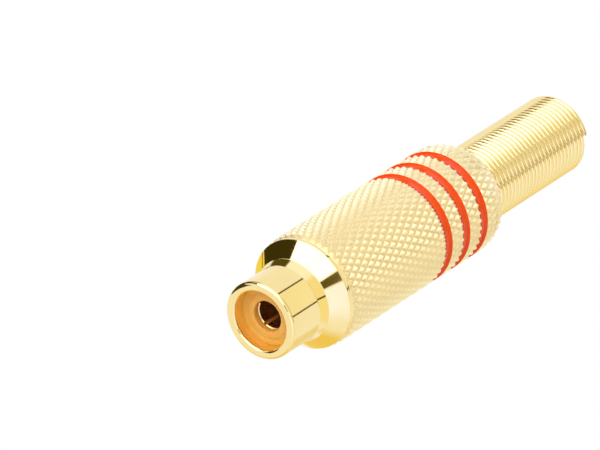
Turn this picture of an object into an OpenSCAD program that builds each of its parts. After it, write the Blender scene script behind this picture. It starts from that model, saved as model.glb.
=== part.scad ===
// Inline phono socket with a knurled screw sleeve and a coiled cable guard.
// It stands on its mouth: the mating face is at z = 0 and the cable leaves along +Z.
// Diameters grow from the pin's bore outwards by the walls and clearances named below, and
// the barrel, which a plug's shell grips, comes out at 8.3 mm.

/* [Barrel] */
// Wall of the barrel round the insulator
barrel_wall = 1; // [0.85:0.05:1.15]
// Straight length of the barrel from the mouth
barrel_len = 4.55; // [4:0.05:6]
// Rounding of the lip's outer edge
lip_outer_r = 0.45; // [0.3:0.05:0.5]
// Rounding of the lip's inner edge
lip_clamp_r = 0.4; // [0.2:0.05:0.45]

/* [Flange] */
// How far the shallow shoulder rises above the barrel
shoulder_step = 0.3; // [0.2:0.05:0.5]
// Length of the shallow shoulder
shoulder_len = 1.1; // [0.8:0.05:1.5]
// Length of the steep cone
cone_len = 1.6; // [1.2:0.05:2.2]
// Width of the flange rim
rim_w = 0.5; // [0.3:0.05:0.8]
// How far the rim lies below the sleeve's surface
rim_inset = 0.16; // [0.1:0.02:0.3]

/* [Threaded neck] */
// Length of the neck behind the flange
neck_len = 5.5; // [5:0.1:6.5]
// Wall of the neck, over the thread
neck_wall = 1.2; // [1:0.05:1.4]
// How far the neck's socket steps out from the barrel's bore
socket_step = 0.6; // [0.5:0.05:0.8]
// How far the rolled rear edge of the neck reaches inwards
rolled_edge = 0.3; // [0.2:0.05:0.4]
// Length of the rolled edge
rolled_len = 0.75; // [0.6:0.05:0.9]

/* [Insulator] */
// Wall of the insulator between the contact's room and the barrel
insulator_wall = 1.2; // [1:0.05:1.4]
// Depth of the insulator's face below the mouth
face_depth = 1.5; // [1.2:0.05:1.8]
// Thickness of the insulator's rear flange
plug_flange = 2.4; // [2:0.1:2.6]
// Clearance of the mating pin in the insulator's hole, on the radius
pin_lead = 0.05; // [0.03:0.01:0.15]
// Width of the raised ring round the pin hole
boss_w = 0.7; // [0.5:0.05:0.9]
// Height of the raised ring
boss_h = 0.15; // [0.1:0.05:0.3]

/* [Centre contact] */
// Bore that grips the mating pin
contact_bore_d = 3.2; // [3.15:0.01:3.24]
// Wall of the contact tube
contact_wall = 0.25; // [0.2:0.01:0.3]
// Room round the contact for its fingers to spring
contact_room = 0.1; // [0.05:0.01:0.15]
// Depth of the contact's mouth below the insulator's face
contact_set_back = 0.6; // [0.4:0.05:0.9]
// Width of the slots that let the contact spring
contact_slot_w = 0.35; // [0.25:0.05:0.45]
// Length of the slots
contact_slot_len = 5.5; // [4:0.1:6]
// Length of the solder tail behind the tube
tail_len = 6.6; // [5:0.1:7]
// Inside diameter of the solder cup
cup_d = 1.5; // [1.2:0.05:1.6]
// Wall of the solder cup
cup_wall = 0.35; // [0.25:0.05:0.4]
// Depth of the solder cup
cup_len = 3; // [2:0.1:3.5]

/* [Washer] */
// Thickness of the insulating washer behind the ground lug
washer_t = 1; // [0.8:0.1:1.2]

/* [Ground lug] */
// Thickness of the sheet
lug_t = 0.5; // [0.4:0.05:0.6]
// Width of the strip
lug_w = 2.4; // [2:0.1:2.6]
// Clearance between the strip's back and the neck's rolled edge
strip_room = 0.35; // [0.3:0.05:0.5]
// Length of the strip from the ring to the cable clamp
lug_strip_len = 9; // [8.4:0.1:10]
// Length of the cable clamp
clamp_len = 6; // [4:0.1:7]
// Height of the clamp's ears above the middle of the cable
ear_h = 2; // [1:0.1:2]
// Diameter of the solder hole in the strip
solder_hole_d = 1.2; // [0.8:0.1:1.4]

/* [Insulating tube] */
// Clearance between the loose tube and the sleeve, on the radius
tube_room = 0.2; // [0.15:0.05:0.3]
// Wall of the tube
tube_wall = 0.4; // [0.3:0.05:0.45]
// End play of the tube
tube_end_play = 0.25; // [0.1:0.05:0.5]

/* [Sleeve] */
// Clearance between the neck and the sleeve, on the radius
thread_gap = 0.08; // [0.06:0.01:0.1]
// Wall of the sleeve outside the thread, up to the knurl's crests
sleeve_wall = 1.03; // [0.9:0.01:1.3]
// Length of the sleeve
sleeve_len = 27.25; // [25:0.05:29]
// Length of the smooth rim in front of the knurl
sleeve_rim_len = 0.35; // [0.25:0.05:0.5]
// Length of the rounded rear end
sleeve_round_len = 3; // [2.4:0.1:3.4]
// Step down from the threaded bore to the cavity
cavity_step = 0.28; // [0.2:0.02:0.36]
// Length of the rear mouth that the coil passes
mouth_len = 1.2; // [0.8:0.1:1.6]
// Width of the plain lip round the rear mouth
rear_lip_w = 0.16; // [0.1:0.02:0.3]

/* [Knurl] */
// Grooves of each hand round the sleeve
knurl_starts = 44; // [36:1:48]
// Distance between rows of diamonds along the sleeve
knurl_row_len = 0.8; // [0.75:0.01:1.1]
// Depth of the grooves
knurl_depth = 0.24; // [0.15:0.01:0.26]

/* [Coloured rings] */
// Distance from the sleeve's rear end to the last ring's rear edge
last_ring_len = 4.05; // [3.6:0.05:6]
// Distance from ring to ring
ring_pitch = 3.1; // [2.6:0.05:3.6]
// Width of the groove
ring_w = 1.05; // [0.8:0.05:1.3]
// Depth of the groove below the floor of the knurl
ring_sink = 0.12; // [0.1:0.01:0.2]
// Thickness of the enamel in the groove
enamel_t = 0.08; // [0.05:0.01:0.1]

/* [Coil] */
// Diameter of the wire
wire_d = 0.62; // [0.5:0.01:0.7]
// Gap between one turn and the next
turn_gap = 0.02; // [0.02:0.01:0.2]
// Clearance round the wider turns that are held in the sleeve, on the radius
seat_room = 0.13; // [0.1:0.01:0.16]
// How much narrower the visible turns are, on the radius
seat_step = 0.38; // [0.3:0.01:0.45]
// Clearance of the coil in the sleeve's rear mouth, on the radius
coil_room = 0.1; // [0.06:0.01:0.14]
// Gap between the wider turns and the shoulder that holds them
seat_gap = 0.01; // [0.01:0.01:0.05]
// Half turns that are wider
seat_half_turns = 5; // [3:2:5]
// Half turns of the whole coil
coil_half_turns = 62; // [50:2:66]

/* [Hidden] */
$fn = 96;

brass_gold = [0.86, 0.70, 0.38];
amber = [0.88, 0.50, 0.18];
fibre_brown = [0.36, 0.22, 0.14];
tinned = [0.78, 0.78, 0.76];
clear_film = [0.90, 0.92, 0.92, 0.5];
enamel_red = [0.90, 0.16, 0.08];

// Radii, from the middle outwards
edge_break = 0.1;
packing_gap = 0.05;
contact_bore_r = contact_bore_d / 2;
contact_r = contact_bore_r + contact_wall;
tail_r = cup_d / 2 + cup_wall;
pin_hole_r = contact_bore_r + pin_lead;
boss_r = pin_hole_r + boss_w;
barrel_bore_r = contact_r + contact_room + insulator_wall;
barrel_r = barrel_bore_r + barrel_wall;
socket_r = barrel_bore_r + socket_step;
packing_r = socket_r - packing_gap;
rolled_r = socket_r - rolled_edge;
clamp_r = rolled_r - strip_room - lug_t;
neck_r = socket_r + neck_wall;
thread_bore_r = neck_r + thread_gap;
sleeve_r = thread_bore_r + sleeve_wall;
rim_r = sleeve_r - rim_inset;
crest_floor_r = sleeve_r - knurl_depth;
groove_r = crest_floor_r - ring_sink;
cavity_r = thread_bore_r - cavity_step;
tube_r = cavity_r - tube_room;
seat_turn_r = cavity_r - seat_room;
coil_turn_r = seat_turn_r - seat_step;
mouth_r = coil_turn_r + coil_room;

// Stations of the jack along the axis, from the mouth
shoulder_z = barrel_len + shoulder_len;
cone_z = shoulder_z + cone_len;
seat_z = cone_z + rim_w;
neck_end_z = seat_z + neck_len;

// The packing is stacked against the neck's rolled edge: washer, lug, insulator flange
washer_top_z = neck_end_z - rolled_len;
lug_top_z = washer_top_z - washer_t;
plug_end_z = lug_top_z - lug_t;
plug_step_z = plug_end_z - plug_flange;
contact_z = face_depth + contact_set_back;
contact_end_z = lug_top_z + washer_t / 2;
contact_floor = 0.4;
tail_end_z = contact_end_z + tail_len;
clamp_z = lug_top_z + lug_strip_len;

// Stations of the sleeve, and the cavity's rear shoulder, which keeps the wide turns in
sleeve_end_z = seat_z + sleeve_len;
knurl_z = seat_z + sleeve_rim_len;
round_z = sleeve_end_z - sleeve_round_len;
shoulder_rise = cavity_r - mouth_r;
cavity_end_z = sleeve_end_z - mouth_len - shoulder_rise;
thread_runout = 0.6;
thread_end_z = neck_end_z + thread_runout;

// The last wide turn lies against the sloping shoulder, and the tube ends in front of the first
wire_r = wire_d / 2;
coil_pitch = wire_d + turn_gap;
swell = 0.005;
seat_turn_z = cavity_end_z + seat_room + wire_r - sqrt(2) * (wire_r + swell + seat_gap);
coil_z = seat_turn_z - seat_half_turns * coil_pitch / 2;
tube_z = neck_end_z + packing_gap;
tube_end_z = coil_z - wire_r - tube_end_play;

// A small overlap where a cut runs out through a face
over = 0.5;

module ring_profile(inner, outer, z0, z1) {
    translate([inner, z0]) square([outer - inner, z1 - z0]);
}

// Barrel, shoulder, cone, rim and neck are one turned piece
module jack_profile() {
    translate([barrel_r - lip_outer_r, lip_outer_r]) circle(lip_outer_r);
    translate([barrel_bore_r + lip_clamp_r, lip_clamp_r]) circle(lip_clamp_r);
    polygon([
        [barrel_bore_r + lip_clamp_r, 0],
        [barrel_r - lip_outer_r, 0],
        [barrel_r - lip_outer_r, lip_outer_r],
        [barrel_r, lip_outer_r],
        [barrel_r, barrel_len],
        [barrel_r + shoulder_step, shoulder_z],
        [rim_r, cone_z],
        [rim_r, seat_z - edge_break],
        [rim_r - edge_break, seat_z],
        [neck_r, seat_z],
        [neck_r, neck_end_z - 2 * edge_break],
        [neck_r - 2 * edge_break, neck_end_z],
        [socket_r, neck_end_z],
        [rolled_r, neck_end_z - rolled_edge],
        [rolled_r, washer_top_z],
        [socket_r, washer_top_z],
        [socket_r, plug_step_z],
        [barrel_bore_r, plug_step_z],
        [barrel_bore_r, lip_clamp_r],
        [barrel_bore_r + lip_clamp_r, lip_clamp_r]
    ]);
}

module jack_body() {
    color(brass_gold) rotate_extrude() jack_profile();
}

// The raised ring round the pin hole, with a rounded top
module boss_profile() {
    translate([boss_r - boss_h, face_depth]) circle(boss_h, $fn = 32);
    ring_profile(pin_hole_r, boss_r - boss_h, face_depth - boss_h, face_depth + boss_h);
}

module mouth_insulator() {
    color(amber) rotate_extrude() {
        boss_profile();
        ring_profile(pin_hole_r, barrel_bore_r, face_depth, contact_z);
        ring_profile(contact_r + contact_room, barrel_bore_r, contact_z, plug_step_z);
        ring_profile(contact_r, packing_r, plug_step_z, plug_end_z);
    }
}

// Tube, floor and solder tail are one turned and slotted piece
module centre_contact() {
    tube_floor_z = contact_end_z - contact_floor;
    cup_z = tail_end_z - cup_len;
    color(brass_gold) difference() {
        union() {
            translate([0, 0, contact_z]) cylinder(h = contact_end_z - contact_z, r = contact_r);
            translate([0, 0, contact_end_z - over]) cylinder(h = tail_len + over, r = tail_r);
        }
        translate([0, 0, contact_z - over])
            cylinder(h = tube_floor_z - contact_z + over, r = contact_bore_r);
        translate([0, 0, contact_z])
            cylinder(h = contact_wall / 2, r1 = contact_r - contact_wall / 2, r2 = contact_bore_r);
        for (turn = [0, 90])
            rotate([0, 0, turn + 45])
                translate([-contact_r - over, -contact_slot_w / 2, contact_z - over])
                    cube([2 * (contact_r + over), contact_slot_w, contact_slot_len + over]);
        translate([0, 0, cup_z]) cylinder(h = cup_len + over, d = cup_d);
        translate([-2 * tail_r, -2 * tail_r, cup_z + cup_len / 3])
            cube([2 * tail_r, 4 * tail_r, cup_len]);
    }
}

// The washer keeps the contact and the lug in the neck, and the lug's strip passes its slot
module insulating_washer() {
    color(fibre_brown) difference() {
        translate([0, 0, lug_top_z]) cylinder(h = washer_t, r = packing_r);
        translate([0, 0, lug_top_z - over]) cylinder(h = contact_end_z - lug_top_z + over, r = contact_r);
        translate([0, 0, lug_top_z - over]) cylinder(h = washer_t + 2 * over, r = tail_r);
        translate([clamp_r - packing_gap, -lug_w / 2 - packing_gap, lug_top_z - over])
            cube([lug_t + 2 * packing_gap, lug_w + 2 * packing_gap, washer_t + 2 * over]);
    }
}

// Ring, strip and cable clamp are one stamped and folded sheet
module ground_lug() {
    ring_gap = 0.5;
    color(tinned) difference() {
        union() {
            translate([0, 0, plug_end_z]) rotate_extrude()
                ring_profile(contact_r + ring_gap, packing_r, 0, lug_t);
            translate([clamp_r, -lug_w / 2, plug_end_z]) cube([lug_t, lug_w, clamp_z - plug_end_z + over]);
            translate([0, 0, clamp_z]) rotate([0, 0, -90]) rotate_extrude(angle = 180)
                ring_profile(clamp_r, clamp_r + lug_t, 0, clamp_len);
            for (side = [-1, 1])
                translate([-ear_h, side * (clamp_r + lug_t / 2) - lug_t / 2, clamp_z])
                    cube([ear_h, lug_t, clamp_len]);
        }
        translate([0, 0, (lug_top_z + washer_t + clamp_z) / 2]) rotate([0, 90, 0])
            cylinder(h = clamp_r + lug_t + over, d = solder_hole_d);
    }
}

module insulating_tube() {
    color(clear_film) rotate_extrude()
        ring_profile(tube_r - tube_wall, tube_r, tube_z, tube_end_z);
}

// The knurled skin is followed by its length s from the front end of the knurl.
// It runs straight, and then round a quarter of an ellipse to the rear lip.
straight_len = round_z - knurl_z;
round_drop = sleeve_r - mouth_r - rear_lip_w;
round_arc = PI * sqrt((sleeve_round_len * sleeve_round_len + round_drop * round_drop) / 2) / 2;
skin_len = straight_len + round_arc;
columns = 2 * knurl_starts;
column_a = 360 / columns;

function round_a(s) = 90 * max(0, s - straight_len) / round_arc;
function skin_r(s) = sleeve_r - round_drop * (1 - cos(round_a(s)));
function skin_z(s) = s < straight_len ? knurl_z + s : round_z + sleeve_round_len * sin(round_a(s));
function groove_depth(s) = knurl_depth * cos(round_a(s));
function row_at(s) = s / knurl_row_len + 0.5;
function is_crest(column, row) = (column + row) % 2 == 0;
// A point of the skin: sink is 0 on a crest and 1 in the bottom of a groove
function skin_point(s, column, sink) =
    let (r = skin_r(s) - sink * groove_depth(s), a = column * column_a)
    [r * cos(a), r * sin(a), skin_z(s)];

// Each ring of points is kept with the number of its row
// A smooth ring, as on the rim and the groove floors
function plain_ring(r, z) = [
    [for (column = [0 : columns - 1]) [r * cos(column * column_a), r * sin(column * column_a), z]],
    0
];
// A whole row has crests and groove crossings by turns
function whole_ring(row) = [
    [
        for (column = [0 : columns - 1])
            skin_point((row - 0.5) * knurl_row_len, column, is_crest(column, row) ? 0 : 1)
    ],
    row
];
// Where the knurl is cut across, each column has a ridge point and a groove point
function cut_ring(s) =
    let (row = floor(row_at(s)), part = row_at(s) - row)
    [
        [
            for (column = [0 : columns - 1])
                let (crest = is_crest(column, row))
                each [
                    skin_point(s, column, crest ? part : 1 - part),
                    skin_point(s, column + (crest ? 1 - part : part), 1)
                ]
        ],
        row
    ];
// The rings of one knurled band, from s0 to s1
function knurled_band(s0, s1) = [
    cut_ring(s0),
    for (row = [floor(row_at(s0)) + 1 : ceil(row_at(s1)) - 1]) whole_ring(row),
    cut_ring(s1)
];

// Two triangles between two even rings, parted along the groove that crosses the cell
function even_cell(low, high, column, row) =
    let (
        next = (column + 1) % columns,
        a = low + column, b = low + next, c = high + column, d = high + next
    )
    is_crest(column, row) ? [[a, c, b], [b, c, d]] : [[a, d, b], [a, c, d]];
// Three triangles between an even ring and a cut ring
function cut_cell(even, cut, column, cut_on_top) =
    let (
        next = (column + 1) % columns,
        a = even + column, b = even + next,
        ridge = cut + 2 * column, groove = ridge + 1, next_ridge = cut + 2 * next,
        cells = [[a, groove, b], [a, ridge, groove], [b, groove, next_ridge]]
    )
    cut_on_top ? cells : [for (cell = cells) [cell[0], cell[2], cell[1]]];
function cell(low, high, low_ring, high_ring, column) =
    len(high_ring[0]) > columns ? cut_cell(low, high, column, true)
    : len(low_ring[0]) > columns ? cut_cell(high, low, column, false)
    : even_cell(low, high, column, low_ring[1]);
function starts(rings, i = 0, sum = 0) =
    i == len(rings) ? [] : concat([sum], starts(rings, i + 1, sum + len(rings[i][0])));

// A closed skin over a stack of rings
module skin(rings) {
    base = starts(rings);
    last = len(rings) - 1;
    faces = concat(
        [[for (i = [0 : len(rings[0][0]) - 1]) i]],
        [
            for (i = [0 : last - 1], column = [0 : columns - 1])
                each cell(base[i], base[i + 1], rings[i], rings[i + 1], column)
        ],
        [[for (i = [len(rings[last][0]) - 1 : -1 : 0]) base[last] + i]]
    );
    polyhedron(points = [for (ring = rings) each ring[0]], faces = faces, convexity = 6);
}

function ring_end(i) = sleeve_end_z - last_ring_len - (2 - i) * ring_pitch;
function ring_start(i) = ring_end(i) - ring_w;

// Smooth front rim, then knurl with three grooves turned through it
module sleeve_skin() {
    skin([
        plain_ring(crest_floor_r - edge_break, seat_z),
        plain_ring(crest_floor_r, seat_z + edge_break),
        plain_ring(crest_floor_r, knurl_z),
        each knurled_band(0, ring_start(0) - knurl_z),
        for (i = [0 : 2]) each [
            plain_ring(groove_r, ring_start(i)),
            plain_ring(groove_r, ring_end(i)),
            each knurled_band(ring_end(i) - knurl_z, i < 2 ? ring_start(i + 1) - knurl_z : skin_len)
        ]
    ]);
}

module sleeve_bore() {
    rotate_extrude() polygon([
        [0, seat_z - over],
        [thread_bore_r, seat_z - over],
        [thread_bore_r, thread_end_z],
        [cavity_r, thread_end_z],
        [cavity_r, cavity_end_z],
        [mouth_r, cavity_end_z + shoulder_rise],
        [mouth_r, sleeve_end_z + over],
        [0, sleeve_end_z + over]
    ]);
}

module knurled_sleeve() {
    color(brass_gold) difference() {
        sleeve_skin();
        sleeve_bore();
    }
}

// Enamel lines the floor and both walls of its groove
module enamel_ring(i) {
    z0 = ring_start(i);
    z1 = ring_end(i);
    color(enamel_red) rotate_extrude() {
        ring_profile(groove_r, groove_r + enamel_t, z0, z1);
        ring_profile(groove_r, crest_floor_r, z0, z0 + enamel_t);
        ring_profile(groove_r, crest_floor_r, z1 - enamel_t, z1);
    }
}

module ring_front() {
    enamel_ring(0);
}

module ring_middle() {
    enamel_ring(1);
}

module ring_rear() {
    enamel_ring(2);
}

// The wire's middle radius where half turn i begins
function coil_r(i) = (i <= seat_half_turns ? seat_turn_r : coil_turn_r) - wire_r;

// Half a turn is half a ring, tipped so that it climbs half the pitch.
// Its ends lie in the XZ plane and face the ends of the half turns next to it.
module half_turn(i) {
    way = i % 2 == 0 ? 1 : -1;
    r0 = coil_r(i);
    r1 = coil_r(i + 1);
    mean_r = (r0 + r1) / 2;
    tip = atan(coil_pitch / 4 / mean_r);
    translate([way * (r0 - r1) / 2, 0, coil_z + (i + 0.5) * coil_pitch / 2])
        rotate([0, way * tip, 0])
            rotate([0, 0, way > 0 ? 0 : 180])
                rotate_extrude(angle = 180)
                    translate([mean_r / cos(tip), 0]) circle(wire_r, $fn = 40);
}

// The wire swells by a hair at the two bends where the wide turns pass into the narrow ones
module bend_swell(i) {
    way = i % 2 == 0 ? 1 : -1;
    translate([way * coil_r(i), 0, coil_z + i * coil_pitch / 2]) sphere(wire_r + swell, $fn = 40);
}

module cable_coil() {
    color(brass_gold) union() {
        for (i = [0 : coil_half_turns - 1]) half_turn(i);
        for (i = [0, 1]) bend_swell(seat_half_turns + i);
    }
}

jack_body();
mouth_insulator();
centre_contact();
insulating_washer();
ground_lug();
insulating_tube();
knurled_sleeve();
ring_front();
ring_middle();
ring_rear();
cable_coil();
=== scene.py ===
"""Inline phono socket with a knurled screw sleeve and a coiled cable guard, dressed over its solids.

The socket stands on its mouth with its axis on Z. Sizes are in millimetres until a piece is finished,
when its mesh is brought to metres.
"""
import math

import bmesh
import bpy
from mathutils import Matrix, Vector


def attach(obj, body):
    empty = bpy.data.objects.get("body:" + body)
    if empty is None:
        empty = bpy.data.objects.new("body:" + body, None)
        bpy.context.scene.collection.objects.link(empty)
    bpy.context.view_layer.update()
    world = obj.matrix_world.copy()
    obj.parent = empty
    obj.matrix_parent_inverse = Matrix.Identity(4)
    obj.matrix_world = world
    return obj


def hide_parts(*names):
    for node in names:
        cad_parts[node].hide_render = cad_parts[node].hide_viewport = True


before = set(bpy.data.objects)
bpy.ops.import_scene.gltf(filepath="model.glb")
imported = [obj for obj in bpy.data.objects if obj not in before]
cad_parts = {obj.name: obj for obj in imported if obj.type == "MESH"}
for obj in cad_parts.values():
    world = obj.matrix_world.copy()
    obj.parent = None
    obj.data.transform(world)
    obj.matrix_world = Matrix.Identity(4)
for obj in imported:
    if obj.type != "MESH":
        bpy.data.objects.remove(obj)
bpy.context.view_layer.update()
scene = bpy.context.scene

MM = 0.001
TURN = 2 * math.pi

# Jack
BARREL_R, BARREL_BORE_R, BARREL_END_Z = 4.15, 3.15, 4.55
SHOULDER_R, SHOULDER_Z = 4.45, 5.65
RIM_R, CONE_Z, SEAT_Z = 5.9, 7.25, 7.75
NECK_R, NECK_ROOT_R, NECK_END_Z = 4.95, 4.62, 13.25
SOCKET_R, ROLLED_R, THREAD_PITCH = 3.75, 3.45, 0.75

# Insulator and contact
FACE_Z, PIN_HOLE_R, RAISED_RING_R, CONTACT_R = 1.5, 1.65, 2.35, 1.85

# Sleeve
SLEEVE_R, KNURL_DEPTH, SLEEVE_END_Z = 6.06, 0.24, 35.0
KNURL_Z, ROUND_Z, ROUND_LEN = 8.1, 32.0, 3.0
ROW_LEN, STARTS = 0.8, 44
THREAD_BORE_R, CAVITY_R, COIL_MOUTH_R, REAR_LIP_W = 5.03, 4.75, 4.34, 0.16
GROOVE_R, FLOOR_R = 5.7, 5.82
BANDS = [(23.7, 24.75), (26.8, 27.85), (29.9, 30.95)]

# Coil
WIRE_R, COIL_PITCH, COIL_Z, COIL_TURNS = 0.31, 0.64, 31.77, 31
SEAT_TURN_R, COIL_TURN_R = 4.31, 3.93


# Shader arithmetic


class Wire:
    """A number on its way through a finish. Arithmetic on it adds the Math nodes."""

    def __init__(self, finish, socket):
        self.finish = finish
        self.socket = socket

    def _sum(self, operation, *numbers):
        return self.finish.node("ShaderNodeMath", {"operation": operation}, dict(enumerate(numbers)))

    def __add__(self, other):
        return self._sum("ADD", self, other)

    def __radd__(self, other):
        return self._sum("ADD", other, self)

    def __sub__(self, other):
        return self._sum("SUBTRACT", self, other)

    def __rsub__(self, other):
        return self._sum("SUBTRACT", other, self)

    def __mul__(self, other):
        return self._sum("MULTIPLY", self, other)

    def __rmul__(self, other):
        return self._sum("MULTIPLY", other, self)

    def __truediv__(self, other):
        return self._sum("DIVIDE", self, other)

    def __pow__(self, other):
        return self._sum("POWER", self, other)


class Sheet:
    """A tree of shader nodes, with the few steps that all the finishes are made from."""

    def __init__(self, tree):
        self.tree = tree

    def node(self, kind, settings=None, sockets=None, out=0):
        """Adds a node: its settings first, then the values or links of its sockets."""
        made = self.tree.nodes.new(kind)
        for name, value in (settings or {}).items():
            if name == "stops":
                ramp = made.color_ramp
                while len(ramp.elements) < len(value):
                    ramp.elements.new(1.0)
                for element, (place, colour) in zip(ramp.elements, value):
                    element.position = place
                    element.color = colour
            else:
                setattr(made, name, value)
        for name, value in (sockets or {}).items():
            self.feed(made.inputs[name], value)
        return None if out is None else Wire(self, made.outputs[out])

    def feed(self, socket, value):
        if isinstance(value, Wire):
            self.tree.links.new(value.socket, socket)
        else:
            socket.default_value = value

    def place(self):
        """Object coordinates in millimetres: x, y, z and the distance from the axis."""
        here = self.node("ShaderNodeTexCoord", out="Object")
        scaled = self.node("ShaderNodeVectorMath", {"operation": "SCALE"}, {0: here, "Scale": 1 / MM})
        parts = [self.node("ShaderNodeSeparateXYZ", sockets={0: scaled}, out=i) for i in range(3)]
        x, y, z = parts
        return x, y, z, (x * x + y * y) ** 0.5

    def vector(self, x, y, z):
        return self.node("ShaderNodeCombineXYZ", sockets={0: x, 1: y, 2: z})

    def noise(self, where, scale, detail=2.0, roughness=0.5):
        sockets = {"Vector": where, "Scale": scale, "Detail": detail, "Roughness": roughness}
        return self.node("ShaderNodeTexNoise", sockets=sockets)

    def between(self, value, low, high, to_low=0.0, to_high=1.0, smooth=True):
        """Moves a value from one span to another, held at both ends."""
        settings = {"interpolation_type": "SMOOTHSTEP" if smooth else "LINEAR", "clamp": True}
        return self.node("ShaderNodeMapRange", settings, {0: value, 1: low, 2: high, 3: to_low, 4: to_high})

    def mix(self, factor, first, second):
        return self.node("ShaderNodeMix", {"data_type": "RGBA"}, {0: factor, 6: first, 7: second}, out=2)

    def bump(self, height, strength, distance):
        return self.node("ShaderNodeBump", sockets={"Strength": strength, "Distance": distance, "Height": height})


class Finish(Sheet):
    """One procedural material, built round a Principled shader."""

    def __init__(self, name, **constants):
        self.material = bpy.data.materials.new(name)
        self.material.use_nodes = True
        super().__init__(self.material.node_tree)
        self.shader = self.tree.nodes["Principled BSDF"]
        for socket, value in constants.items():
            self.shader.inputs[socket.replace("_", " ")].default_value = value

    def drive(self, **values):
        """Feeds what changes over the surface into the shader."""
        for name, value in values.items():
            self.feed(self.shader.inputs[name.replace("_", " ")], value)


def gold(name, pale, deep, roughness, grain, **constants):
    """Gold plate: the marks of the tool run round the axis, and the tone drifts a little."""
    finish = Finish(name, Metallic=1.0, **constants)
    x, y, z, r = finish.place()
    rings = finish.noise(finish.vector(r * 1.0, 0.0, z), grain, 3.0, 0.6)
    drift = finish.noise(finish.vector(x, y, z), 0.35, 2.0)
    tone = finish.between(drift, 0.3, 0.7)
    finish.drive(
        Base_Color=finish.mix(tone * 0.6 + rings * 0.3, pale, deep),
        Roughness=roughness * (0.75 + rings * 0.5),
        Normal=finish.bump(rings, 0.06, 0.00002),
    )
    return finish


TURNED_GOLD = gold("turned_gold", (0.95, 0.775, 0.38, 1), (0.93, 0.74, 0.34, 1), 0.07, 9.0)
WIRE_GOLD = gold("gold_wire", (0.95, 0.785, 0.4, 1), (0.93, 0.75, 0.35, 1), 0.14, 12.0)


def knurled_gold():
    """Plate over the knurl: paler on the lands, with painted shade, a deeper gold, down in the grooves."""
    finish = Finish("knurled_gold", Metallic=1.0)
    x, y, z, r = finish.place()
    depth = finish.node("ShaderNodeAttribute", {"attribute_name": "height"}, out="Fac")
    speckle = finish.noise(finish.vector(x, y, z), 5.0, 3.0)
    # Painted shade: the lower the metal lies, the deeper its gold, so the grooves look shaded.
    tone = finish.between(depth + speckle * 0.3, 0.2, 0.9)
    finish.drive(
        Base_Color=finish.mix(tone, (0.92, 0.76, 0.43, 1), (0.96, 0.86, 0.57, 1)),
        Roughness=0.36 + 0.16 * speckle,
        Normal=finish.bump(speckle, 0.1, 0.00003),
    )
    return finish


KNURLED_GOLD = knurled_gold()


def contact_gold():
    """Plated brass of the contact, with painted shade down inside its bore, which is duller and darker there."""
    finish = Finish("contact_gold", Metallic=1.0)
    x, y, z, r = finish.place()
    grain = finish.noise(finish.vector(r, 0.0, z), 6.0, 3.0)
    # Painted shade in the bore: darker brown and rougher from a little way in, to the far end of the contact.
    inside = finish.between(r, 1.62, 1.72, 1.0, 0.0) * finish.between(z, 2.3, 5.5)
    inside = inside * finish.between(z, 11.2, 11.5, 1.0, 0.0)
    finish.drive(
        Base_Color=finish.mix(inside, (0.9, 0.62, 0.3, 1), (0.62, 0.3, 0.1, 1)),
        Roughness=0.18 + grain * 0.14 + inside * 0.35,
        Normal=finish.bump(grain, 0.1, 0.00003),
    )
    return finish


def amber_insulator():
    """Moulded amber plastic with faint turning marks on its face."""
    finish = Finish("amber_insulator", Subsurface_Weight=0.3, Subsurface_Scale=0.0006, IOR=1.5)
    finish.shader.inputs["Subsurface Radius"].default_value = (1.0, 0.45, 0.15)
    x, y, z, r = finish.place()
    cloud = finish.noise(finish.vector(x, y, z), 0.9, 3.0)
    rings = finish.noise(finish.vector(r, 0.0, z), 7.0, 2.0)
    finish.drive(
        Base_Color=finish.mix(finish.between(cloud, 0.3, 0.7), (1.0, 0.53, 0.11, 1), (1.0, 0.46, 0.07, 1)),
        Roughness=0.3 + 0.15 * rings,
        Normal=finish.bump(rings + cloud * 0.5, 0.03, 0.00004),
    )
    return finish


def red_enamel():
    """Enamel with a slight unevenness from the brush, and painted shade, a dark red, in the front corner of its
    groove.
    """
    finish = Finish("red_enamel", IOR=1.45, Specular_IOR_Level=0.35)
    x, y, z, r = finish.place()
    runs = finish.noise(finish.vector(x * 0.7, y * 0.7, z * 2.0), 1.2, 3.0)
    step = BANDS[1][0] - BANDS[0][0]
    across = finish.node("ShaderNodeMath", {"operation": "MODULO"}, {0: z - BANDS[0][0], 1: step})
    # Painted shade under the front teeth: the front corner of each band is darkened to a deep red.
    painted_corner_shade = finish.between(across, 0.08, 0.34, 1.0, 0.0)
    red = finish.mix(finish.between(runs, 0.3, 0.7), (0.98, 0.075, 0.0, 1), (0.98, 0.1, 0.002, 1))
    finish.drive(
        Base_Color=finish.mix(painted_corner_shade, red, (0.42, 0.01, 0.0, 1)),
        Roughness=0.16 + 0.1 * runs + painted_corner_shade * 0.4,
        Normal=finish.bump(runs, 0.15, 0.00006),
    )
    return finish


def tinned_sheet():
    """Bright tinned sheet, rolled along its strip."""
    finish = Finish("tinned_sheet", Metallic=1.0)
    x, y, z, r = finish.place()
    rolled = finish.noise(finish.vector(x * 6.0, y * 6.0, z * 0.4), 2.0, 3.0)
    cloud = finish.noise(finish.vector(x, y, z), 0.6, 3.0)
    finish.drive(
        Base_Color=finish.mix(cloud, (0.74, 0.74, 0.73, 1), (0.84, 0.84, 0.82, 1)),
        Roughness=0.2 + 0.22 * rolled,
        Normal=finish.bump(rolled, 0.12, 0.00003),
    )
    return finish


def fibre_board():
    """Pressed brown fibre with short pale and dark threads."""
    finish = Finish("fibre_board", IOR=1.45)
    x, y, z, r = finish.place()
    threads = finish.noise(finish.vector(x * 3.0, y, z * 3.0), 2.2, 4.0, 0.65)
    finish.drive(
        Base_Color=finish.mix(finish.between(threads, 0.35, 0.65), (0.2, 0.085, 0.035, 1), (0.34, 0.17, 0.08, 1)),
        Roughness=0.6 + 0.25 * threads,
        Normal=finish.bump(threads, 0.4, 0.00006),
    )
    return finish


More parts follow.
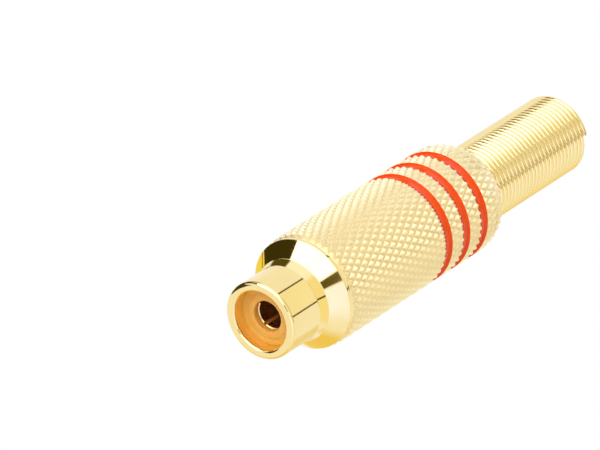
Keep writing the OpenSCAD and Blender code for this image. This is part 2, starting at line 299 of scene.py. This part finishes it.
def clear_film():
    """Thin clear film rolled to a tube, with faint draw lines along it."""
    finish = Finish("clear_film", Transmission_Weight=0.92, IOR=1.3)
    x, y, z, r = finish.place()
    lines = finish.noise(finish.vector(x * 3.0, y * 3.0, z * 0.15), 1.5, 2.0)
    finish.drive(
        Base_Color=finish.mix(lines, (0.9, 0.95, 0.96, 1), (0.97, 0.98, 0.98, 1)),
        Roughness=0.08 + 0.14 * lines,
        Normal=finish.bump(lines, 0.1, 0.00004),
    )
    return finish


CONTACT_GOLD = contact_gold()
AMBER = amber_insulator()
ENAMEL = red_enamel()
TINNED = tinned_sheet()
FIBRE = fibre_board()
FILM = clear_film()


# Mesh making


def face_outwards(bm):
    """Turns the faces of each separate shell outwards, a thin ridge's too."""
    bmesh.ops.recalc_face_normals(bm, faces=bm.faces)
    bm.normal_update()
    waiting = set(bm.faces)
    while waiting:
        shell = [waiting.pop()]
        for face in shell:
            beside = {other for edge in face.edges for other in edge.link_faces} & waiting
            waiting -= beside
            shell.extend(beside)
        if sum(face.normal.dot(face.calc_center_median()) * face.calc_area() for face in shell) < 0:
            bmesh.ops.reverse_faces(bm, faces=shell)


def finished(bm, name, finish, body, *stands_for, sharp=40.0):
    """Closes a mesh up, brings it to metres, and puts it in place of its solid."""
    bmesh.ops.remove_doubles(bm, verts=bm.verts, dist=1e-4)
    face_outwards(bm)
    bmesh.ops.scale(bm, vec=(MM, MM, MM), verts=bm.verts)
    mesh = bpy.data.meshes.new(name)
    bm.to_mesh(mesh)
    bm.free()
    mesh.shade_smooth()
    mesh.set_sharp_from_angle(angle=math.radians(sharp))
    mesh.materials.append(finish.material)
    piece = bpy.data.objects.new(name, mesh)
    scene.collection.objects.link(piece)
    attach(piece, body)
    if stands_for:
        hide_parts(*stands_for)
    flats = piece.modifiers.new("flats", "WEIGHTED_NORMAL")
    flats.keep_sharp = True
    return piece


def drawn(bm, corners, segments=5):
    """A closed outline in the XZ plane from corners (radius, height, rounding)."""
    verts = [bm.verts.new((r, 0.0, z)) for r, z, rounding in corners]
    for a, b in zip(verts, verts[1:] + verts[:1]):
        bm.edges.new((a, b))
    for vert, (r, z, rounding) in zip(verts, corners):
        if rounding:
            bmesh.ops.bevel(
                bm, geom=[vert], offset=rounding, offset_type="OFFSET", segments=segments,
                profile=0.5, affect="VERTICES", material=-1,
            )


def turned(bm, corners, steps=180, segments=5):
    """Turns a closed outline once round the axis."""
    before = set(bm.verts)
    drawn(bm, corners, segments)
    verts = [v for v in bm.verts if v not in before]
    edges = [e for e in bm.edges if e.verts[0] not in before]
    bmesh.ops.spin(
        bm, geom=verts + edges, cent=(0, 0, 0), axis=(0, 0, 1), angle=TURN, steps=steps,
        use_merge=True, use_duplicate=False,
    )


def wound(bm, section, turns, pitch, steps):
    """Winds a closed section (points x, z) round the axis as it climbs. Gives the angle of each vertex."""
    one = bmesh.new()
    verts = [one.verts.new((x, 0.0, z)) for x, z in section]
    edges = [one.edges.new(pair) for pair in zip(verts, verts[1:] + verts[:1])]
    bmesh.ops.spin(
        one, geom=verts + edges, cent=(0, 0, 0), axis=(0, 0, 1), dvec=(0, 0, pitch / steps),
        angle=TURN, steps=steps, use_merge=False, use_duplicate=False,
    )
    turn = bpy.data.meshes.new("turn")
    one.to_mesh(turn)
    one.free()
    start = len(bm.verts)
    for _ in range(turns):
        bm.from_mesh(turn)
    count = len(turn.vertices)
    bpy.data.meshes.remove(turn)
    bm.verts.ensure_lookup_table()
    made = bm.verts[start:]
    for i, vert in enumerate(made):
        vert.co.z += i // count * pitch
    bmesh.ops.remove_doubles(bm, verts=made, dist=1e-4)
    made = [vert for vert in made if vert.is_valid]
    ends = {edge for vert in made for edge in vert.link_edges if edge.is_boundary}
    bmesh.ops.holes_fill(bm, edges=list(ends), sides=0)
    foot = min(z for _, z in section)
    middle = (foot + max(z for _, z in section)) / 2
    angles = {}
    for vert in made:
        part = math.atan2(vert.co.y, vert.co.x) / TURN % 1
        angles[vert] = (part + round((vert.co.z - middle) / pitch - part)) * TURN
    return angles


def jack():
    """Barrel, shoulder, cone, rim and threaded neck, one turned piece."""
    bm = bmesh.new()
    turned(bm, [
        (BARREL_BORE_R, 0.0, 0.4),
        (BARREL_R, 0.0, 0.45),
        (BARREL_R, BARREL_END_Z, 0.02),
        (SHOULDER_R, SHOULDER_Z, 0.06),
        (RIM_R, CONE_Z, 0.05),
        (RIM_R, SEAT_Z, 0.1),
        (NECK_ROOT_R, SEAT_Z, 0.06),
        (NECK_ROOT_R, NECK_END_Z - 0.1, 0.0),
        (NECK_ROOT_R - 0.1, NECK_END_Z, 0.0),
        (SOCKET_R, NECK_END_Z, 0.05),
        (ROLLED_R, NECK_END_Z - 0.3, 0.1),
        (ROLLED_R, NECK_END_Z - 0.75, 0.0),
        (SOCKET_R, NECK_END_Z - 0.75, 0.0),
        (SOCKET_R, 8.6, 0.0),
        (BARREL_BORE_R, 8.6, 0.0),
    ], steps=200)
    turns = 6
    ridge = [(NECK_ROOT_R - 0.1, -0.33), (NECK_R, -0.06), (NECK_R, 0.06), (NECK_ROOT_R - 0.1, 0.33)]
    angles = wound(bm, ridge, turns, THREAD_PITCH, 72)
    for vert, angle in angles.items():
        vert.co.z += 8.4
        run = min(1.0, min(angle, TURN * turns - angle) / (TURN * 0.2))
        over = math.hypot(vert.co.x, vert.co.y)
        lower = 1 - (over - NECK_ROOT_R + 0.1) * (1 - run) / over
        vert.co.x *= lower
        vert.co.y *= lower
    piece = finished(bm, "jack", TURNED_GOLD, "jack", "jack_body", sharp=30)


def insulator():
    """Amber plug with a raised ring round the pin hole."""
    bm = bmesh.new()
    turned(bm, [
        (PIN_HOLE_R, FACE_Z - 0.15, 0.12),
        (RAISED_RING_R - 0.15, FACE_Z - 0.12, 0.14),
        (RAISED_RING_R + 0.2, FACE_Z, 0.14),
        (BARREL_BORE_R, FACE_Z, 0.02),
        (BARREL_BORE_R, 8.6, 0.0),
        (SOCKET_R - 0.05, 8.6, 0.0),
        (SOCKET_R - 0.05, 11.0, 0.0),
        (CONTACT_R + 0.01, 11.0, 0.0),
        (CONTACT_R + 0.01, 8.6, 0.0),
        (CONTACT_R + 0.1, 8.6, 0.0),
        (CONTACT_R + 0.1, 2.1, 0.0),
        (PIN_HOLE_R, 2.1, 0.0),
    ], steps=160)
    piece = finished(bm, "insulator", AMBER, "jack", "mouth_insulator", sharp=35)


def skin_point(around, along, height):
    """A point of the knurled skin, which runs straight and then round the rear end."""
    drop = SLEEVE_R - COIL_MOUTH_R - REAR_LIP_W
    arc = math.pi * math.sqrt((ROUND_LEN ** 2 + drop ** 2) / 2) / 2
    bend = math.pi / 2 * max(0.0, along - (ROUND_Z - KNURL_Z)) / arc
    radius = SLEEVE_R - drop * (1 - math.cos(bend)) - (1 - height) * KNURL_DEPTH * math.cos(bend)
    z = KNURL_Z + along if bend == 0 else ROUND_Z + ROUND_LEN * math.sin(bend)
    angle = around * TURN / STARTS
    return Vector((radius * math.cos(angle), radius * math.sin(angle), z))


def skin_len():
    drop = SLEEVE_R - COIL_MOUTH_R - REAR_LIP_W
    return ROUND_Z - KNURL_Z + math.pi * math.sqrt((ROUND_LEN ** 2 + drop ** 2) / 2) / 2


# Where the lines of one diamond lie, from one groove to the next, and how high each is
LINES = [(0.0, 0.0), (0.05, 0.0), (0.42, 1.0), (0.58, 1.0), (0.95, 0.0)]
CELLS, SEAM, ROW_START = 64, 0.13, 0.02


def knurl_lattice():
    """A flat lattice whose lines run along the grooves of both hands, with the height of the metal in z.

    One unit of x is a diamond's width round the sleeve, and y runs along it in millimetres.
    """
    bm = bmesh.new()
    bmesh.ops.create_grid(bm, x_segments=CELLS, y_segments=CELLS, size=CELLS / 2)
    bmesh.ops.translate(bm, vec=(CELLS / 2, CELLS / 2 - 19, 0), verts=bm.verts)
    unused = []
    for face in bm.faces:
        i, j, high = face.calc_center_median()
        around = (i + j) / 2
        along = (i - j) * ROW_LEN
        if not (-1.5 < around < STARTS + 1.5 and -2 < along < skin_len() + 2):
            unused.append(face)
    bmesh.ops.delete(bm, geom=unused, context="FACES")
    parts = len(LINES)
    bmesh.ops.subdivide_edges(bm, edges=bm.edges[:], cuts=parts - 1, use_grid_fill=True)
    for vert in bm.verts:
        spot = []
        high = 1.0
        for value in vert.co[:2]:
            whole, part = divmod(round(value * parts), parts)
            spot.append(whole + LINES[part][0])
            high = min(high, LINES[part][1])
        vert.co = (spot[0], spot[1], high)
    for face in bm.faces[:]:
        low = [v for v in face.verts if v.co.z < 0.5]
        if len(low) == 3:
            top = next(v for v in face.verts if v.co.z > 0.5)
            far = max(low, key=lambda v: (v.co - top.co).length)
            bmesh.utils.face_split(face, top, far)
    for vert in bm.verts:
        i, j, high = vert.co
        vert.co = ((i + j) / 2, (i - j) * ROW_LEN + ROW_START, high)
    return bm


def cut(bm, point, away, drop=False):
    """Cuts a flat lattice along a line. With drop, what lies beyond it goes."""
    bmesh.ops.bisect_plane(
        bm, geom=bm.verts[:] + bm.edges[:] + bm.faces[:], dist=1e-5, plane_co=point, plane_no=away,
        clear_outer=drop,
    )


def open_loop(bm, z):
    """The open edges that lie at one height."""
    return [
        e for e in bm.edges
        if e.is_boundary and all(abs(v.co.z - z) < 1e-3 for v in e.verts)
    ]


def carried(bm, loop, place):
    """Draws an open loop out to a new one, and places each new vertex."""
    made = bmesh.ops.extrude_edge_only(bm, edges=loop)["geom"]
    verts = {g for g in made if isinstance(g, bmesh.types.BMVert)}
    for vert in verts:
        vert.co = place(vert.co, math.atan2(vert.co.y, vert.co.x))
    return [g for g in made if isinstance(g, bmesh.types.BMEdge) and verts.issuperset(g.verts)]


def at(radius, z):
    return lambda co, angle: Vector((radius * math.cos(angle), radius * math.sin(angle), z))


def threaded(z, start, end, root):
    """Places a loop on the inner thread: the groove climbs with the angle, and runs in and out."""
    def place(co, angle):
        phase = (z / THREAD_PITCH - angle / TURN) % 1.0
        cut = max(0.0, 1 - abs(phase - 0.5) * 2 / 0.84)
        fade = max(0.0, min(1.0, (z - start) / 0.5, (end - z) / 0.5))
        radius = THREAD_BORE_R + root * cut * fade
        return Vector((radius * math.cos(angle), radius * math.sin(angle), z))
    return place


def sleeve():
    """The knurled sleeve: bands of knurl, three turned grooves, the threaded bore and the cavity."""
    whole = knurl_lattice()
    cut(whole, (SEAM, 0, 0), (-1, 0, 0), drop=True)
    cut(whole, (SEAM + STARTS, 0, 0), (1, 0, 0), drop=True)
    cut(whole, (0, 0, 0), (0, -1, 0), drop=True)
    cut(whole, (0, skin_len(), 0), (0, 1, 0), drop=True)
    for low, high in BANDS:
        cut(whole, (0, low - KNURL_Z, 0), (0, 1, 0))
        cut(whole, (0, high - KNURL_Z, 0), (0, 1, 0))
    middles = [(face, face.calc_center_median().y + KNURL_Z) for face in whole.faces]
    turned_off = [face for face, z in middles if any(low < z < high for low, high in BANDS)]
    bmesh.ops.delete(whole, geom=turned_off, context="FACES")
    layer = whole.verts.layers.float.new("height")
    for vert in whole.verts:
        vert[layer] = vert.co.z
        vert.co = skin_point(*vert.co)
    bmesh.ops.remove_doubles(whole, verts=whole.verts, dist=1e-3)
    for low, high in BANDS:
        front = carried(whole, open_loop(whole, low), at(GROOVE_R, low))
        rear = carried(whole, open_loop(whole, high), at(GROOVE_R, high))
        bmesh.ops.bridge_loops(whole, edges=front + rear)
    rear = open_loop(whole, SLEEVE_END_Z)
    loop = open_loop(whole, KNURL_Z)
    bore_end = NECK_END_Z + 0.6
    for radius, z in (
        (FLOOR_R, KNURL_Z), (FLOOR_R, SEAT_Z + 0.1), (FLOOR_R - 0.1, SEAT_Z),
        (THREAD_BORE_R + 0.15, SEAT_Z), (THREAD_BORE_R, SEAT_Z + 0.15),
    ):
        loop = carried(whole, loop, at(radius, z))
    steps = 44
    for i in range(1, steps):
        z = SEAT_Z + 0.15 + (bore_end - SEAT_Z - 0.15) * i / steps
        loop = carried(whole, loop, threaded(z, SEAT_Z + 0.15, bore_end, 0.36))
    for radius, z in (
        (THREAD_BORE_R, bore_end), (CAVITY_R, bore_end), (CAVITY_R, 33.39), (COIL_MOUTH_R, 33.8),
        (COIL_MOUTH_R, SLEEVE_END_Z - 0.06), (COIL_MOUTH_R + 0.06, SLEEVE_END_Z),
    ):
        loop = carried(whole, loop, at(radius, z))
    bmesh.ops.bridge_loops(whole, edges=loop + rear)
    piece = finished(whole, "sleeve", KNURLED_GOLD, "sleeve", "knurled_sleeve", sharp=20)


def enamel_rings():
    """Enamel on the floor of each groove. It is drawn up the rear wall, over the ends of the teeth."""
    for name, (low, high) in zip(("front", "middle", "rear"), BANDS):
        bm = bmesh.new()
        turned(bm, [
            (GROOVE_R, low, 0.0),
            (FLOOR_R, low, 0.0),
            (FLOOR_R, low + 0.03, 0.0),
            (GROOVE_R + 0.08, low + 0.11, 0.05),
            (GROOVE_R + 0.08, high - 0.1, 0.05),
            (SLEEVE_R - 0.04, high - 0.03, 0.0),
            (SLEEVE_R - 0.04, high, 0.0),
            (GROOVE_R, high, 0.0),
        ], steps=176, segments=3)
        piece = finished(bm, "enamel_" + name, ENAMEL, "sleeve", "ring_" + name, sharp=50)


def coil():
    """Close-wound wire. The first turns are wider and stay in the sleeve."""
    bm = bmesh.new()
    sides = 14
    section = [
        (COIL_TURN_R + WIRE_R * math.cos(TURN * i / sides), COIL_Z + WIRE_R * math.sin(TURN * i / sides))
        for i in range(sides)
    ]
    angles = wound(bm, section, COIL_TURNS, COIL_PITCH, 96)
    for vert, angle in angles.items():
        part = min(1.0, max(0.0, angle / math.pi - 5))
        wide = (SEAT_TURN_R - COIL_TURN_R) * (1 - part * part * (3 - 2 * part))
        vert.co.x += wide * math.cos(angle)
        vert.co.y += wide * math.sin(angle)
    piece = finished(bm, "coil", WIRE_GOLD, "coil", "cable_coil", sharp=50)


def plain_nodes():
    """The pieces whose solids have the right shape get their finish."""
    for node, finish in (
        ("centre_contact", CONTACT_GOLD),
        ("insulating_washer", FIBRE),
        ("ground_lug", TINNED),
        ("insulating_tube", FILM),
    ):
        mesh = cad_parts[node].data
        mesh.materials.clear()
        mesh.materials.append(finish.material)


jack()
insulator()
sleeve()
enamel_rings()
coil()
plain_nodes()


# Stage, light and camera


def towards(azimuth, elevation):
    """A direction from its azimuth and elevation in degrees, X being azimuth 0."""
    a, e = math.radians(azimuth), math.radians(elevation)
    return Vector((math.cos(e) * math.cos(a), math.cos(e) * math.sin(a), math.sin(e)))


MIDDLE = Vector((0, 0, 0.026))


def stage_piece(bm, name):
    """A piece of the studio, with an empty shader tree for its surface."""
    mesh = bpy.data.meshes.new(name)
    bm.to_mesh(mesh)
    bm.free()
    material = bpy.data.materials.new(name)
    material.use_nodes = True
    material.node_tree.nodes.clear()
    mesh.materials.append(material)
    made = bpy.data.objects.new(name, mesh)
    scene.collection.objects.link(made)
    return made, Sheet(material.node_tree)


def card(name, tone, start, end, fade=(0, 0, 0, 0), far=3.0, about=MIDDLE):
    """A studio card that only reflections see.

    It spans the directions between two upright edges (azimuth, lowest, highest elevation). It fades out
    over so many degrees at its start, its end, its foot and its top.
    """
    bm = bmesh.new()
    bmesh.ops.create_grid(bm, x_segments=24, y_segments=24, size=1.0)
    solid = bm.verts.layers.float.new("solid")
    wide = abs(end[0] - start[0])
    for vert in bm.verts:
        across, up = (vert.co.x + 1) / 2, (vert.co.y + 1) / 2
        azimuth, low, high = (a + (b - a) * across for a, b in zip(start, end))
        inside = (across * wide, (1 - across) * wide, up * (high - low), (1 - up) * (high - low))
        vert[solid] = min([1.0] + [span / edge for span, edge in zip(inside, fade) if edge])
        vert.co = about + towards(azimuth, low + (high - low) * up) * far
    made, sheet = stage_piece(bm, name)
    cover = sheet.node("ShaderNodeAttribute", {"attribute_name": "solid"}, out="Fac")
    level = max(tone)
    glow = sheet.node("ShaderNodeEmission", None, {"Color": [t / level for t in tone] + [1], "Strength": level})
    clear = sheet.node("ShaderNodeBsdfTransparent")
    mixed = sheet.node("ShaderNodeMixShader", None, {0: sheet.between(cover, 0.0, 1.0), 1: clear, 2: glow})
    sheet.node("ShaderNodeOutputMaterial", None, {"Surface": mixed}, out=None)
    made.visible_camera = False
    made.visible_diffuse = False
    made.visible_transmission = False
    made.visible_shadow = False


def soft_lamp(name, azimuth, elevation, size, strength, far=2.5):
    """A square soft lamp that looks at the socket. Strength is its brightness against the white ground."""
    data = bpy.data.lights.new(name, "AREA")
    data.shape = "SQUARE"
    data.size = size
    data.energy = strength * math.pi * size * size
    lamp = bpy.data.objects.new(name, data)
    lamp.location = MIDDLE + towards(azimuth, elevation) * far
    lamp.rotation_euler = (-towards(azimuth, elevation)).to_track_quat("-Z", "Y").to_euler()
    lamp.visible_camera = False
    lamp.visible_glossy = False
    scene.collection.objects.link(lamp)


def white_room():
    """White to the camera, to gloss and through clear film. Matt surfaces get a plain soft light."""
    world = bpy.data.worlds.new("white_room")
    scene.world = world
    world.use_nodes = True
    world.node_tree.nodes.clear()
    sheet = Sheet(world.node_tree)
    seen = [
        sheet.node("ShaderNodeLightPath", out=ray)
        for ray in ("Is Camera Ray", "Is Glossy Ray", "Is Transmission Ray")
    ]
    level = sheet.between(seen[0] + seen[1] + seen[2], 0.0, 1.0, 0.7, 1.0, smooth=False)
    ground = sheet.node("ShaderNodeBackground", None, {"Color": (1, 1, 1, 1), "Strength": level})
    sheet.node("ShaderNodeOutputWorld", None, {"Surface": ground}, out=None)


def floor():
    """A white floor just under the mouth. From above it takes the socket's shadow, from below it is clear."""
    bm = bmesh.new()
    bmesh.ops.create_grid(bm, x_segments=1, y_segments=1, size=2.0)
    bmesh.ops.translate(bm, vec=(0, 0, -0.05 * MM), verts=bm.verts)
    made, sheet = stage_piece(bm, "floor")
    camera_ray = sheet.node("ShaderNodeLightPath", out="Is Camera Ray")
    from_below = sheet.node("ShaderNodeNewGeometry", out="Backfacing")
    clear = sheet.node("ShaderNodeBsdfTransparent")
    matt = sheet.node("ShaderNodeBsdfDiffuse", None, {"Color": (1, 1, 1, 1)})
    lift = sheet.node("ShaderNodeEmission", None, {"Color": (1, 1, 1, 1), "Strength": 0.26})
    pale = sheet.node("ShaderNodeAddShader", None, {0: matt, 1: lift})
    mixed = sheet.node("ShaderNodeMixShader", None, {0: camera_ray * (1 - from_below), 1: clear, 2: pale})
    sheet.node("ShaderNodeOutputMaterial", None, {"Surface": mixed}, out=None)


def camera():
    """The photograph's view: from in front of the mouth and a little above the socket as it lies."""
    right = Vector((0.781155, 0.197319, 0.592336))
    down = Vector((0.046746, 0.927596, -0.370648))
    ahead = Vector((-0.622585, 0.317223, 0.715372))
    data = bpy.data.cameras.new("camera")
    data.sensor_width = 36.0
    data.lens = 390.0
    made = bpy.data.objects.new("camera", data)
    turn = Matrix((right, -down, -ahead)).transposed()
    made.matrix_world = Matrix.Translation(Vector((402.716, -211.885, -453.655)) * MM) @ turn.to_4x4()
    scene.collection.objects.link(made)
    scene.camera = made


white_room()
floor()
camera()
soft_lamp("key", -75, -31, 1.9, 2.2)
card("overhead", (2.6, 2.6, 2.7), (-119, -30, 8), (-36, -30, 8), fade=(4, 34, 0, 16), far=3.4)
card("overhead_high", (1.15, 1.15, 1.25), (-119, -8, 38), (-36, -8, 38), fade=(4, 34, 0, 10), far=3.5)
card("overhead_low", (2.6, 2.6, 2.7), (-119, -48, -28), (-30, -48, -28), fade=(3, 3, 0, 3), far=3.3)
card("far_gold", (0.94, 0.78, 0.13), (146, 8, 42), (190, 0, 34), fade=(6, 0, 6, 6), far=3.2)
card("far_line", (0.2, 0.12, 0.02), (180.5, 2, 36), (182.3, 2, 36), far=3.0)
card("camera_side", (0.13, 0.09, 0.016), (-28.5, -45, -31), (-9, -45, -31), fade=(0, 2, 0, 2), far=2.8)
card("dark_band", (0.45, 0.35, 0.12), (-64, 21, 38), (23.8, 21, 38), fade=(30, 0, 2, 2), far=2.8)
card("seam_left", (0.08, 0.06, 0.01), (-66.4, 40, 62), (-61, 40, 62), fade=(1, 1, 0, 0), far=2.7)
card("seam_right", (0.08, 0.06, 0.01), (8.6, 39, 62), (14.0, 39, 62), fade=(1, 1, 0, 0), far=2.7)
card("seam_foot", (0.08, 0.06, 0.01), (0.6, 8, 20), (6.0, 8, 20), fade=(1, 1, 0, 0), far=2.7)
card("panel", (1.01, 0.97, 0.78), (-63, 39, 64), (11, 39, 64), fade=(0, 0, 0, 8), far=3.3)
card("warm_near", (1.0, 0.92, 0.55), (-56, 5, 25), (104, 5, 25), fade=(14, 20, 4, 4), far=3.1)
card("pale_low", (1.1, 1.2, 1.75), (-9, -50, -20), (74, -30, -2), fade=(3, 40, 4, 4), far=3.2)
card("warm_low", (0.93, 0.72, 0.2), (76, -25, 32), (152, -25, 32), fade=(26, 6, 8, 6), far=3.15)
card("warm_under", (0.91, 0.79, 0.46), (74, 33, 66), (166, 33, 66), fade=(20, 10, 6, 8), far=3.15)

# What lay dark beside the mouth is near it, so the coil hardly mirrors it
MOUTH = Vector((0, 0, 0.0065))
card("dark_side", (0.045, 0.036, 0.005), (193, 2, 30), (249, -32, -6), far=0.03, about=MOUTH)
card("dark_foot", (0.07, 0.05, 0.01), (187, -52, 4), (222, -52, -4), fade=(0, 6, 0, 0), far=0.031, about=MOUTH)
card("dark_top", (0.1, 0.075, 0.01), (200, 14, 33), (254, 8, 28), fade=(10, 6, 2, 2), far=0.032, about=MOUTH)

# The coil mirrors a stretch of its own: brown dashes, a pale stripe and a dark line
COIL_MIDDLE = Vector((0, 0, 0.044))
card("coil_dashes", (0.25, 0.17, 0.04), (237, -16, 34), (266, -16, 34), fade=(10, 5, 6, 6), far=0.028, about=COIL_MIDDLE)
card("coil_white", (1.05, 1.25, 1.8), (-100, -18, 60), (-42, -18, 60), fade=(10, 26, 8, 0), far=0.029, about=COIL_MIDDLE)
card("coil_line", (0.5, 0.36, 0.07), (9.5, -50, 60), (14.5, -50, 60), far=0.028, about=COIL_MIDDLE)

scene.view_settings.view_transform = "Standard"
